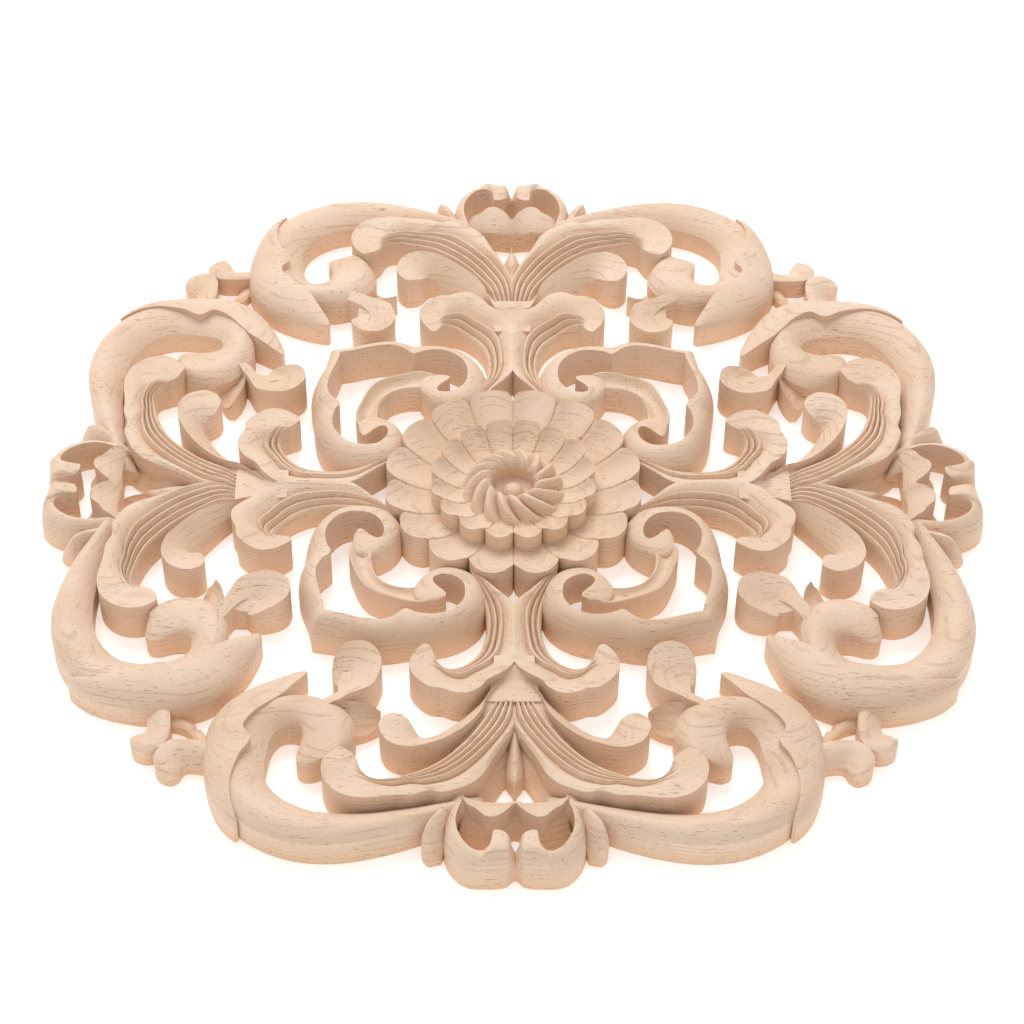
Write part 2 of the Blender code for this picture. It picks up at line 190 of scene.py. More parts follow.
strip("leaf by the flower",
      [(37, 13.5, 11, 38, 11.5, 11), (44, 10.8, 9.5, 44.5, 6, 11.3), (50, 9.2, 8, 50.5, 0.8, 11.8),
       (56, 8.4, 7.2, 56.5, -1.2, 12.2), (61, 8.6, 6.8, 64, -1.3, 12.4),
       (65.5, 9.8, 6.4, 71.5, -1.1, 12.2), (68.7, 11.5, 6.2, 76, 0.5, 12),
       (71.2, 13.6, 6.1, 79.8, 3.7, 12.6), (73.2, 15.9, 6.3, 82.8, 7.8, 13),
       (74.6, 18.2, 7, 86, 10.3, 13), (75.2, 20.2, 8, 88.5, 13.8, 13.6),
       (75.2, 21.8, 9.3, 88.6, 17.9, 13.9), (74.5, 23, 10.8, 87, 21.6, 13.8),
       (73.2, 23.9, 12, 86.4, 25.4, 14), (71.8, 24.5, 12.7, 83, 29.2, 13.9),
       (70.6, 25.1, 13.1, 78.9, 31.4, 13.8), (69.9, 25.7, 13.3, 74.4, 30.8, 13.8),
       (69.5, 26.3, 13.4, 71, 28.7, 13.7), (69.3, 26.8, 13.4, 69.6, 27.4, 13.5)],
      [(0, beaded([0, 0.2, 0.4, 0.6, 1], [0, 0.15, 0.4, 0.66, 1], [1, 1.4, 1.6, 0.6], RIBS)),
       (0.3, beaded([0, 0.17, 0.34, 0.52, 1], [0, 0.05, 0.26, 0.52, 1], [1.7, 2.3, 2.6, 1], RIBS)),
       (0.5, beaded([0, 0.15, 0.3, 0.46, 1], [0, 0.06, 0.25, 0.48, 1], [1.7, 2.3, 2.6, 1.2], RIBS)),
       (0.66, beaded([0, 0.1, 0.2, 0.32, 1], [0, 0.1, 0.26, 0.42, 1], [0.7, 1.2, 1.3, 0.7], RIBS)),
       (0.78, rolled_between([0, 0.1, 0.2, 0.32, 1], RIBS)), (1, rolled(sum(RIBS)))], pitch=LEAF_PITCH)

# Plain middle leaf
# The smooth, hollow leaf between the two ribbed ones. It springs from the arm's stem,
# swings outward and rises to a rounded curl at its end.


def scooped(columns, power):
    """Hollow or swelling face: the rise to the outer edge is the place to a power."""
    t = np.linspace(0, 1, columns + 1)
    return np.stack([t, t ** power, 0 * t], -1)


def throughout(face):
    """The same face along the whole of a strip."""
    return [(0, face), (1, face)]


strip("plain middle leaf",
      [(78, 3, 8, 78, 1, 9), (83, 5.5, 8.5, 83, 5.2, 10.5), (87, 8.6, 8.2, 88, 8.1, 12),
       (90.5, 12.5, 7.2, 93, 9.4, 12.2), (93.5, 16.2, 6, 98, 12.4, 12.5),
       (96.2, 20, 5.3, 102, 16.2, 12.8), (98.5, 23.2, 5.5, 105.4, 20.5, 13.2),
       (100.4, 25.8, 6.8, 108, 25, 14), (101.2, 27.6, 8.2, 109.4, 30, 14.2),
       (100.4, 29, 9.6, 109, 34, 14.3), (98.8, 30.2, 11, 106.8, 37.5, 14.2),
       (97.3, 31.4, 11.9, 103.6, 39.3, 14), (96.3, 33, 12.5, 100.3, 39.8, 13.8),
       (95.8, 34.6, 12.8, 97.5, 38.5, 13.5), (95.7, 35.9, 12.9, 96, 36.8, 13)],
      throughout(scooped(8, 0.8)), pitch=LEAF_PITCH)

# Outer leaf
# The largest leaf fans out of the stem in five beads that run out into a broad curl.
# A flat neck covers its root, and a low web fills the gap under the middle leaf.
FANS = [5, 5, 5, 5, 4]
strip("outer leaf",
      [(86, 5.4, 7.4, 86, -1.2, 7.4), (88.5, 6, 7.9, 88.5, -1.2, 7.9),
       (92.5, 7.6, 9.1, 92.5, -1.2, 9.4), (96, 9.5, 9.2, 96.5, -1, 10.2),
       (99.6, 11.8, 8.9, 100.8, 0.4, 10.8), (103, 14.2, 8.8, 104.8, 2.4, 11.6),
       (106.3, 17, 8.8, 109.6, 5, 12), (109.4, 20.1, 8.8, 114.4, 7.4, 12.2),
       (112.1, 23.5, 8.8, 118.9, 9.7, 12.6), (114.3, 27, 8.9, 122.3, 12.9, 13.2),
       (115.9, 30.6, 9, 124.3, 16.8, 13.5), (117.1, 34.4, 9.1, 125.8, 20.8, 14),
       (117.9, 38, 9.4, 125.2, 25, 13.9), (118.2, 41, 9.8, 126.8, 29.5, 14),
       (117.6, 43.2, 10.4, 127, 35, 14.1), (116, 44.6, 11.3, 127.8, 40.5, 14.2),
       (114, 45.4, 12, 127.8, 45.8, 14.2), (112, 46.4, 12.6, 126, 50.8, 14.2),
       (110.6, 47.6, 13, 122.2, 54.4, 14.2), (109.7, 49, 13.3, 117.2, 56, 14.2),
       (109.1, 50.3, 13.4, 112.6, 55.1, 13.9), (108.9, 51.4, 13.4, 109.8, 52.9, 13.6)],
      [(0, beaded([0, 0.2, 0.4, 0.6, 0.8, 1], [0, 0.1, 0.3, 0.5, 0.7, 1],
                  [1.2, 1.3, 1.3, 1.3, 1.2], FANS)),
       (0.1, beaded([0, 0.2, 0.4, 0.6, 0.79, 1], [0, 0.06, 0.26, 0.46, 0.66, 1],
                    [1.9, 2.1, 2.2, 2.2, 1.8], FANS)),
       (0.24, beaded([0, 0.19, 0.38, 0.57, 0.76, 1], [0, 0.02, 0.18, 0.38, 0.6, 1],
                     [1.8, 2.3, 2.5, 2.5, 1.8], FANS)),
       (0.42, beaded([0, 0.14, 0.28, 0.43, 0.6, 1], [0, 0.02, 0.14, 0.32, 0.54, 1],
                     [1.5, 2.3, 2.6, 2.6, 1.4], FANS)),
       (0.58, beaded([0, 0.11, 0.22, 0.34, 0.48, 1], [0, 0.04, 0.16, 0.32, 0.48, 1],
                     [0.9, 1.8, 2.1, 1.9, 1.3], FANS)),
       (0.72, beaded([0, 0.08, 0.16, 0.26, 0.4, 1], [0, 0.1, 0.22, 0.34, 0.48, 1],
                     [0.3, 0.8, 0.9, 0.7, 0.8], FANS)),
       (0.82, rolled_between([0, 0.08, 0.16, 0.26, 0.4, 1], FANS)), (1, rolled(sum(FANS)))],
      fade=0.02, pitch=LEAF_PITCH)
strip("neck",
      [(72, -1.5, 11, 72, 6, 11), (75.6, -1.5, 11.3, 76, 6.3, 10.8), (78, -1.5, 10.5, 78.5, 6.6, 10.2),
       (80.6, -1.5, 9.2, 80.8, 7, 9.2), (84, -1.5, 9.4, 84, 7.2, 9.5),
       (88.2, -1.5, 9.8, 88.2, 8.2, 9.8), (88.8, -1.5, 9.4, 88.8, 8.2, 9.4)],
      throughout(scooped(2, 1.0)), fade=0)
strip("web under the middle leaf",
      [(84, 6.5, 9.2, 84, 3, 9.2), (89, 9, 9, 90, 5.5, 9), (94, 11.4, 8.2, 95, 8, 8.4),
       (99, 15, 7, 100, 11.5, 7.6), (103, 19, 5, 104.4, 15.5, 6)],
      throughout(scooped(2, 1.0)), fade=0)

# Drop and dish
# A slender drop lies on the stem between the two outer leaves. A hollow dish is
# scooped out on each side of it, and deepens toward the lip.


def crowned(columns, peak, height):
    """Rounded face, highest at a peak between the edges, steeper on the short side:
    the height times the sine of a quarter turn from edge to peak, to the power 0.8."""
    t = np.linspace(0, 1, columns + 1)
    v = np.interp(t, [0, 0.5, 1], [0, peak, 1])
    side = np.where(v < peak, v / peak, (1 - v) / (1 - peak))
    return np.stack([v, v, height * np.sin(side * math.pi / 2) ** 0.8], -1)


strip("drop on the stem",
      [(94, -0.7, 8.4, 94, 0.7, 8.4), (98, -1, 8, 98, 1, 8), (102, -1.3, 7.5, 102, 1.3, 7.5),
       (106, -1.9, 6.5, 106, 1.9, 6.5), (110, -2.6, 5.5, 110, 2.6, 5.5),
       (113.5, -2.7, 4.5, 113.5, 2.7, 4.5), (116, -1.8, 4.5, 116, 1.8, 4.5),
       (118.4, -0.5, 3.6, 118.4, 0.5, 3.6), (126, -0.6, 1.6, 126, 0.6, 1.6)],
      [(0, crowned(8, 0.5, 1.8)), (0.6, crowned(8, 0.5, 3)), (1, crowned(8, 0.5, 2.5))],
      fade=0.04, pitch=1)
strip("dish between the fans",
      [(98, 2.6, 8, 98, -1.2, 7), (103, 4, 8.6, 103.5, -1.2, 4.6), (107.5, 6, 8.8, 108.5, -1, 3.2),
       (111, 8, 9, 112.4, -0.4, 2.4), (114, 10, 9, 114.8, 3.2, 2), (117, 12.4, 9.2, 118, 5.1, 2),
       (120.4, 15.2, 9.4, 121.4, 7, 2.2), (123.6, 18.6, 9.6, 124.5, 10.5, 3)],
      throughout(scooped(12, 0.5)), fade=0)

# Ogee band and gutter
# The tall band that is bent round each diagonal, with a volute at both ends, and the
# curved gutter inside it that joins the two volutes.
GUTTER = [3, 8, 3]
strip("ogee band",
      [(57.6, 62, 14.8, 61.2, 64.5, 5), (57.3, 58, 15, 62.2, 59, 5), (58.2, 53.4, 15, 63.4, 53.5, 5),
       (59.9, 47.9, 15, 65.6, 47.5, 5), (60.9, 43, 15, 66.6, 42.5, 5), (60.8, 39.4, 15, 66.6, 39, 5),
       (59.4, 36.3, 15, 66.2, 36, 5), (56.7, 33.2, 15, 65.6, 33.4, 5), (57.9, 30.2, 15, 65.3, 30.6, 5),
       (58.7, 26.6, 15, 64.9, 26.6, 5), (58.5, 23, 15, 64.1, 22.4, 5), (57.1, 19.8, 14.8, 62.6, 18, 5),
       (54.8, 17, 14.6, 59.9, 13.8, 5), (51.7, 15.3, 14.3, 56, 10.3, 5),
       (48.2, 14.9, 14, 50.5, 8.4, 5.5), (44.8, 15.5, 13.7, 44.3, 8.7, 6),
       (42.3, 17.5, 13.4, 38.6, 11.2, 6.5), (40.9, 20, 13.1, 35.6, 16, 7.5),
       (40.6, 22.6, 12.9, 35.2, 21.5, 8.5), (41.4, 24.6, 12.6, 37.4, 26.2, 9),
       (43, 24.9, 12.5, 41.2, 29.4, 9.5), (44.8, 23.8, 12.5, 45.1, 31, 10),
       (46.5, 22, 12.4, 49, 29.8, 10.3), (47.9, 20.9, 12.3, 50.4, 27, 10.5),
       (48.9, 21, 12, 50.3, 24, 10.7)],
      throughout(rolled(10)), fade=0)
strip("curved gutter",
      [(43.8, 25.5, 11.3, 48.5, 24, 11.3), (43.9, 28, 11, 50.6, 26.5, 11.3),
       (44.2, 31, 10.7, 51.4, 29.5, 11.7), (44.1, 34, 10.5, 51, 33.2, 12),
       (43.3, 37.4, 10.5, 49.7, 37, 12), (41.6, 40.4, 10.5, 48.4, 40.6, 12.2),
       (39.4, 42, 10.5, 46.6, 44, 12.3), (36.6, 43, 10.5, 44, 47.2, 12.5)],
      throughout(beaded([0, 0.16, 0.86, 1], [0, 0.05, 0.8, 1], [0.5, -1.5, 0.4], GUTTER)))

# Scroll and its wrap leaf
# The thick, rounded scroll of the rim, carved in one sweep from the arm's end to its
# own curled head. A leaf with a wavy edge is wrapped over its outer side.
strip("scroll band",
      [(121, 9, 6, 127, 9.5, 8), (125, 20, 7.5, 131.6, 20, 9), (127.6, 32, 8, 136.4, 31.5, 9.4),
       (129, 43, 8, 139.8, 43, 9.4), (129, 53, 8, 141.2, 54, 9.4), (127.3, 61, 8, 139.9, 64.8, 9.2),
       (123.5, 67.6, 8, 135.6, 74.6, 9), (118.4, 71.8, 8, 129, 82.4, 8.8),
       (112.4, 73, 8, 120.2, 87.8, 8.6), (107, 72.6, 8, 110, 89.6, 8.4),
       (102, 71.6, 8.3, 101.5, 89.5, 8.4), (98.6, 69.4, 8.8, 94.3, 85, 8.8),
       (97.6, 66.4, 9, 89.4, 77, 9.2), (98.4, 63.6, 9.2, 87.2, 68.6, 9.6),
       (101, 62.4, 9.2, 87, 60.5, 9.6), (104.5, 62.8, 8.8, 89.4, 53.6, 9.4),
       (107.6, 63.8, 8.2, 93.6, 49, 9), (110.4, 63.6, 8, 98.6, 47, 8.6),
       (112, 61.8, 7.8, 103.6, 47.4, 8.2), (112.2, 59.6, 7.8, 107.8, 49.6, 8),
       (111.6, 57.6, 7.8, 110.2, 52.6, 7.8), (111.2, 56.4, 7.8, 111.1, 54.6, 7.8)],
      [(0, crowned(14, 0.6, 3.4)), (0.25, crowned(14, 0.6, 3.6)), (0.6, crowned(14, 0.66, 3.7)),
       (0.85, crowned(14, 0.66, 3.7)), (1, crowned(14, 0.5, 3.2))], fade=0.03)
strip("wrap leaf",
      [(133, 79.4, 9.4, 133.6, 80.4, 7.5), (129.6, 80.6, 11, 131.4, 83, 6.2),
       (125.4, 81.8, 12.2, 127.4, 86, 5.6), (120.4, 82.1, 12.9, 122, 88.4, 5.5),
       (115.6, 81.2, 13.3, 116.6, 90, 5.5), (111.2, 79.8, 13.6, 111.6, 90.9, 5.5),
       (107.8, 77.7, 13.7, 107, 91.2, 5.5), (104.9, 77.2, 13.7, 103.4, 91.2, 5.5),
       (101.6, 79.4, 13.8, 99, 90.9, 5.5), (98.4, 78.4, 13.8, 94.6, 89.7, 5.5),
       (95, 75.8, 13.8, 89.6, 87, 5.5), (92.2, 72.6, 13.6, 85, 82.6, 5.5),
       (88.6, 68.8, 13, 81, 76.4, 5.5), (83.5, 65.6, 11.6, 78.4, 70.2, 6.5),
       (79.4, 63, 10.2, 77, 65.6, 8.5), (77.4, 62, 9.4, 76.6, 63, 9)],
      throughout(rolled(12)), fade=0)

# Branch leaf and thorn
# A short leaf branches off the head of the scroll and curls over like a spoon, with
# its throat filled lower down. The thorn is the creased, pointed leaf below it.
FINE_PITCH = 0.8
strip("branch leaf",
      [(97, 62, 9, 97, 54, 9.5), (91.6, 60, 10, 91.8, 55.2, 11.6), (88.6, 56.6, 10.4, 90, 52, 12),
       (86.2, 52.9, 10.6, 87.8, 48.4, 12.3), (83.8, 50, 10.4, 84.8, 42.4, 12.7),
       (81.6, 48.6, 10, 81, 40.6, 13.1), (80, 48.4, 9.6, 76.9, 39.7, 13.5),
       (79, 48.9, 9.4, 73, 40.6, 13.8), (78.5, 49.6, 9.2, 69.6, 43.4, 14),
       (78.3, 50.3, 9.1, 68.5, 47, 14), (78.3, 50.9, 9, 69.4, 50.6, 13.8),
       (78.4, 51.4, 9, 71.8, 53, 13.2), (79, 51.6, 8.8, 75, 54.2, 12), (80, 51.4, 8.6, 78, 54.6, 10.4),
       (81.2, 50.8, 8.4, 80.4, 54.2, 8.8), (82.2, 50, 8.2, 82, 52.6, 8.2)],
      [(0, scooped(10, 0.9)), (0.4, scooped(10, 1)), (0.75, scooped(10, 1.2)), (1, scooped(10, 1))])
strip("throat of the branch leaf",
      [(77.2, 49.2, 9.6, 77.4, 52.6, 9.2), (79.6, 48.6, 9.8, 79.8, 52.6, 8.8),
       (82, 48, 10, 82.4, 52.6, 8.6), (85, 48.2, 10.3, 85.8, 52.4, 9.6)],
      throughout(scooped(4, 1.0)), fade=0)
strip("thorn",
      [(98, 54, 5.4, 89.2, 54.5, 9.8), (98.6, 49.6, 4.6, 88.8, 49.6, 9.8),
       (97.8, 46.4, 4, 89.2, 46.4, 9.8), (96.4, 43, 3.6, 90.4, 42.6, 9.6),
       (94.4, 39.8, 5.6, 92.2, 39.6, 9)],
      [(0, beaded([0, 0.5, 1], [0, 0.34, 1], [-0.5, -0.9], [5, 5])),
       (1, beaded([0, 0.5, 1], [0, 0.3, 1], [-0.3, -0.9], [5, 5]))], fade=0.1, pitch=FINE_PITCH)

# Lip of an arm
# The scalloped shell at the end of an arm leans over the hollow inside the horns. Its
# foot slopes down outward from under it, nearly to the back of the board.
strip("scalloped lip",
      [(124.6, -1.2, 8, 128.2, -1.2, 12.3), (124.8, 0.4, 8, 128.9, 0.4, 12.5),
       (125.2, 1.6, 8.2, 130.9, 1.8, 13.2), (125.4, 3.6, 8.4, 133, 3.9, 13.5),
       (125.6, 5.6, 8.6, 134.2, 6.2, 13.6), (125.6, 7.6, 8.8, 133.8, 8.6, 13.5),
       (125.4, 9.8, 9, 132, 10.3, 13.2), (125, 12, 9.4, 130.6, 11.8, 13.2),
       (124.6, 14, 9.8, 129.6, 13.4, 13.1), (124.4, 16, 10, 127.5, 14.9, 13)],
      throughout(scooped(10, 0.75)), fade=0, pitch=FINE_PITCH)
strip("foot of the lip",
      [(126.5, -1.2, 10, 132.7, -1.2, 0.4), (128, 1.6, 10.5, 133.6, 1.8, 0.4),
       (130.4, 5, 11, 136.2, 5.4, 0.4), (130, 8.6, 11, 136.8, 9, 0.4),
       (128.6, 11.6, 11, 136.4, 11.6, 0.4), (126.8, 14.6, 11, 134, 16.4, 0.8)],
      throughout(scooped(8, 0.9)), fade=0, pitch=FINE_PITCH)

# Ram's horns and side leaf
# Two horns close the arm. Each sweeps round the hollow, swells to a rounded crest at
# the rim and hooks back at the middle. A small leaf lies against each horn's outside.
HORN = [3, 3, 3, 3]
strip("ram's horn volute",
      [(121, 14, 9.5, 119, 18, 5), (126, 15, 11.2, 124, 19, 5), (130.5, 16.4, 12, 129.5, 19.8, 4.5),
       (134.5, 17, 12.4, 135, 20.6, 4), (138.3, 16.4, 12.5, 140.4, 20.2, 3.5),
       (141.6, 14.9, 12.5, 145, 18.4, 3), (144, 12.9, 12.5, 148.2, 15.6, 2.6),
       (145.2, 11, 12.5, 149.5, 13.1, 2.4), (145.3, 9.2, 12.5, 149.8, 11.2, 2.4),
       (144, 7.8, 12.6, 149.85, 9.8, 2.4), (142.2, 6.9, 12.8, 149.85, 8.4, 2.4),
       (140.3, 6.6, 13, 149.85, 7, 2.4), (138.6, 6, 13.1, 149.8, 5.6, 2.4),
       (138.8, 3.6, 13, 149.6, 4, 2.6), (140.4, 1.8, 12.5, 149, 2.2, 3),
       (142.4, 0.8, 9.8, 147.4, 0.8, 3.2), (143.4, -0.8, 7.6, 146.6, -0.8, 3.4)],
      [(0, rolled(12)), (0.4, rolled(12)),
       (0.6, beaded([0, 0.3, 0.6, 0.84, 1], [0, -0.08, -0.1, 0.14, 1],
                    [0, 0.1, 0.4, 0.7], HORN)),
       (0.92, beaded([0, 0.3, 0.6, 0.84, 1], [0, -0.08, -0.1, 0.14, 1],
                     [0, 0.1, 0.4, 0.7], HORN)), (1, rolled(12))], fade=0, pitch=FINE_PITCH)
strip("side leaf",
      [(127, 18, 9.5, 127, 21.2, 9.5), (130.6, 18.8, 9.3, 131, 23.2, 9.4),
       (134, 19.8, 9, 134.6, 25.4, 9.2), (137, 20.3, 7.5, 138, 26.7, 7.5),
       (139.4, 20.4, 4.5, 140.6, 26.2, 4.5), (141.4, 21.2, 2, 142.2, 24.6, 2)],
      [(0, crowned(10, 0.66, 2)), (0.6, crowned(10, 0.74, 4.4)), (1, crowned(10, 0.6, 1.5))],
      fade=0.04, pitch=FINE_PITCH)

# Trefoil
# On each diagonal, two hooks curl away from each other between the scrolls. A low
# leaf runs across on the flower's side of them, from one scroll to the other.
strip("hook",
      [(112, 84, 5, 104, 84, 7), (109.8, 90, 4.6, 102.2, 91, 7.4), (108.9, 94.2, 4.4, 101.6, 96.5, 7.7),
       (109, 96.3, 4.5, 102, 101.2, 7.7), (109.9, 97.3, 4.8, 104.4, 104.4, 7.4),
       (111, 97.8, 5, 108, 105.6, 6.8), (111.9, 98.2, 5, 111.6, 104.3, 6),
       (112.5, 98.8, 5, 113.2, 101.6, 5.4), (112.9, 99.4, 5, 113.2, 99.9, 5)],
      [(0, crowned(8, 0.6, 1.5)), (1, crowned(8, 0.6, 1.2))], fade=0.04, pitch=1)
strip("low leaf",
      [(104, 86, 3, 104, 93, 3), (99, 90, 3.5, 98.5, 94.5, 3.5), (94.5, 93, 3, 95, 97, 3)],
      throughout(crowned(4, 0.5, 0.8)))

# Flower petals
# The flower has two tiers of sixteen cupped petals, the inner one standing on the
# outer. They are carved from the same board, and a sharp groove parts two petals.
PETAL_ANGLE = 360 / 16
PETAL_STEPS = 15
OVERLAP = 0.12
CUP = 1.1
DIP = 0.7
GROOVE_SHARE = 0.14
GROOVE_DROP = 1.9


def petal_tier(name, notch, tip, root, root_height, rim_height, heart_height, rows):
    """Tier of sixteen cupped petals, cut off at an eighth of the circle. The radius of
    its rim is the notch's radius plus the lobe's depth times the height of a half
    circle over the petal's width. Going outward the tier rises as the share of the way
    to the power 1.5, less a dip. Across a petal it lifts with the square of the
    distance from the middle, and drops straight down in a groove at its sides."""
    t = np.linspace(0, 1, PETAL_STEPS)
    spaced = 0.5 - 0.5 * np.cos(t * math.pi)
    turns = np.unique(np.concatenate([spaced + k for k in range(-1, 3)]).round(6))
    turns = turns[(turns > -OVERLAP) & (turns < 2 + OVERLAP)]
    angle = np.radians(PETAL_ANGLE) * turns
    side = np.abs(2 * (turns % 1) - 1)[:, None]
    lobe = np.sqrt(1 - np.minimum(side[:, 0], 1) ** 2)
    rim = notch + (tip - notch) * lobe
    share = np.linspace(0, 1, rows + 1)
    radius = root + (rim - root)[:, None] * share[None]
    height = root_height + (rim_height - root_height) * share[None] ** 1.5
    groove = np.clip((side - (1 - GROOVE_SHARE)) / GROOVE_SHARE, 0, 1)
    cup = CUP * side ** 2 - GROOVE_DROP * groove
    height = height + cup * share[None] ** 0.5 - DIP * np.sin(math.pi * share)[None]
    rings = np.zeros((len(turns), rows + 4, 3))
    rings[:, :-3, 0] = radius * np.cos(angle)[:, None]
    rings[:, :-3, 1] = radius * np.sin(angle)[:, None]
    rings[:, :-3, 2] = height
    rings[:, -3] = rings[:, -4]
    rings[:, -3:, 2] = -SAW
    rings[:, -2, :2] = rings[:, 0, :2] * 0.05 - (3.0, 3.0 * math.tan(math.radians(PETAL_ANGLE)))
    rings[:, -1, :2] = rings[:, -2, :2]
    rings[:, -1, 2] = heart_height
    return solid(name, rings, False, eighth)


petal_tier("outer petals", notch=35.4, tip=41.3, root=22.0, root_height=7.2, rim_height=13.4,
           heart_height=5.2, rows=12)
petal_tier("inner petals", notch=22.8, tip=26.6, root=15.0, root_height=8.6, rim_height=13.9,
           heart_height=5.6, rows=8)

# Swirl and button
# The raised ring in the flower's heart has fourteen lobes that lean one way. It is
# carved round a deep hollow, with a small round button standing in it.
LOBES = 14
LOBE_STEPS = 12
LEAN = 0.45
LEAN_FROM = 15.7
LEAN_OVER = 6.6
SWELL = 0.8
RISE = 1.8
SINK = 0.9
BUTTON_RADIUS = 3.4
BUTTON_HEIGHT = 6.8
heart = bpy.data.collections.new("heart of the flower")
bpy.context.scene.collection.children.link(heart)

# At each turn, radius and height swell with the size of the sine of the turn times half
# the number of lobes, and a point is turned further, the nearer it is to the middle.
turn = np.linspace(0, 2 * math.pi, LOBES * LOBE_STEPS, endpoint=False)
radii = np.array([16.6, 16.2, 15.6, 14.8, 13.7, 12.4, 11.0, 9.9, 8.9, 8.2, 7.6, 7.0, 6.8, 6.8, 16.6])
heights = np.array([5.0, 8.6, 9.4, 10.4, 11.7, 12.8, 13.6, 14.2, 14.4, 14.3, 13.8, 12.6, 9.0, 5.0, 5.0])
waves = np.array([0, 0.2, 0.5, 0.8, 1.0, 1.0, 0.9, 0.8, 0.6, 0.6, 0.6, 0.4, 0.2, 0, 0])
lean = -LEAN * (LEAN_FROM - radii) / LEAN_OVER
ripple = 2 * np.abs(np.sin(LOBES * turn[:, None] / 2)) - 1
spread = radii[None] + SWELL * waves[None] * ripple
height = heights[None] - SINK * waves[None] + RISE * waves[None] * ripple
rings = np.zeros((len(turn), len(radii), 3))
rings[..., 0] = spread * np.cos(turn[:, None] + lean[None])
rings[..., 1] = spread * np.sin(turn[:, None] + lean[None])
rings[..., 2] = np.minimum(height, BOARD)
solid("swirl", rings, True, heart)
bpy.ops.mesh.primitive_uv_sphere_add(segments=28, ring_count=14, radius=BUTTON_RADIUS * MM,
                                     location=(0, 0, BUTTON_HEIGHT * MM))
button = bpy.context.object
button.name = "button"
heart.objects.link(button)
bpy.context.scene.collection.objects.unlink(button)

# Whole carving
# The board is one piece with a flat back. The strips of the eighth are joined and cut
# off level with the back, then mirrored at the diagonal and at both axes, and the
# heart of the flower is joined last. The closed piece stands in for the solid.
SLIVER = 0.02 * MM
ON_PLANE = 0.01 * MM
SHARP_FROM = 32


def evaluated(target, name):
    """The object's mesh with its modifiers worked out, as a new object."""
    bpy.context.view_layer.update()
    graph = bpy.context.evaluated_depsgraph_get()
    data = bpy.data.meshes.new_from_object(target.evaluated_get(graph))
    made = bpy.data.objects.new(name, data)
    bpy.context.scene.collection.objects.link(made)
    return made


def boolean(target, name, operation, operand, solver="EXACT"):
    """Boolean modifier with an object or a whole collection as its operand."""
    modifier = target.modifiers.new(name, "BOOLEAN")
    modifier.operation = operation
    modifier.solver = solver
    if isinstance(operand, bpy.types.Collection):
        modifier.operand_type = "COLLECTION"
        modifier.collection = operand
    else:
        modifier.object = operand


base = eighth.objects["outer petals"]
eighth.objects.unlink(base)
bpy.context.scene.collection.objects.link(base)
bpy.ops.mesh.primitive_cube_add(size=1, location=(0, 0, -0.2))
bench = bpy.context.object
bench.name = "bench"
bench.scale = (0.4, 0.4, 0.4)
diagonal = bpy.data.objects.new("diagonal", None)
diagonal.rotation_euler = (0, 0, math.radians(-45))
guides = bpy.data.collections.new("guides")
bpy.context.scene.collection.children.link(guides)
guides.objects.link(diagonal)
boolean(base, "join", "UNION", eighth)
boolean(base, "flat back", "DIFFERENCE", bench)
weld = base.modifiers.new("close slivers", "WELD")
weld.merge_threshold = SLIVER
repeats = (("diagonal", diagonal, (True, False, False)), ("both axes", None, (True, True, False)))
for label, guide, axes in repeats:
    mirror = base.modifiers.new(label, "MIRROR")
    mirror.use_axis = axes
    mirror.use_bisect_axis = axes
    mirror.mirror_object = guide
    mirror.merge_threshold = ON_PLANE
    mirror.bisect_threshold = ON_PLANE
boolean(base, "heart", "UNION", heart, "MANIFOLD")
carving = evaluated(base, "applique_carving")
for spare in list(eighth.objects) + list(heart.objects) + [base, bench, diagonal]:
    bpy.data.objects.remove(spare, do_unlink=True)
for group in (eighth, heart, guides):
    bpy.data.collections.remove(group)
carving.data.shade_smooth()
carving.data.set_sharp_from_angle(angle=math.radians(SHARP_FROM))
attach(carving, "root")
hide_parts("applique")

# Rubberwood
# The board is pale, bare rubberwood with its grain along the x axis: thin growth lines
# and short dark pores, and the close ridges that the router's ball cutter leaves across
# the grain, with painted shade in the furrows between them. Towards the back the walls
# carry a painted orange glow, as of light bounced up from the lit floor.
RIDGE_PERIOD = 0.8 * MM
GROWTH_PERIOD = 1.9 * MM
LAYER_TILT = 0.22
LAYER_WAVE = 10 * MM
PORE_LENGTH = 4.0 * MM
PORE_WIDTH = 0.36 * MM
RIDGE_DEPTH = 0.06 * MM
PAINTED_BOUNCE_UP_TO = 8.0 * MM
PALE = (0.79, 0.60, 0.455, 1)
TAN = (0.70, 0.485, 0.33, 1)
PAINTED_BOUNCE_ORANGE = (0.84, 0.55, 0.345, 1)
GROWTH_AND_FURROW_SHADE_BROWN = (0.47, 0.285, 0.16, 1)
PORE_BROWN = (0.30, 0.165, 0.09, 1)
TAN_SHARE = 0.55
PAINTED_BOUNCE_SHARE = 0.7
LINE_SHARE = 0.36
PAINTED_FURROW_SHADE_SHARE = 0.14
PORE_SHARE = 0.6


def value_group(name, output):
    """Empty shader group that gives one named value."""
    group = bpy.data.node_groups.new(name, "ShaderNodeTree")
    group.interface.new_socket(output, in_out="OUTPUT", socket_type="NodeSocketFloat")
    return group, group.nodes.new("NodeGroupOutput")


def noise(tree, detail, stretch):
    """Value of a noise over object coordinates, each axis multiplied by its stretch."""
    where = tree.nodes.new("ShaderNodeTexCoord")
    squeeze = tree.nodes.new("ShaderNodeVectorMath")
    squeeze.operation = "MULTIPLY"
    squeeze.inputs[1].default_value = stretch
    texture = tree.nodes.new("ShaderNodeTexNoise")
    texture.inputs["Scale"].default_value = 1.0
    texture.inputs["Detail"].default_value = detail
    tree.links.new(where.outputs["Object"], squeeze.inputs[0])
    tree.links.new(squeeze.outputs[0], texture.inputs["Vector"])
    return texture.outputs[0]


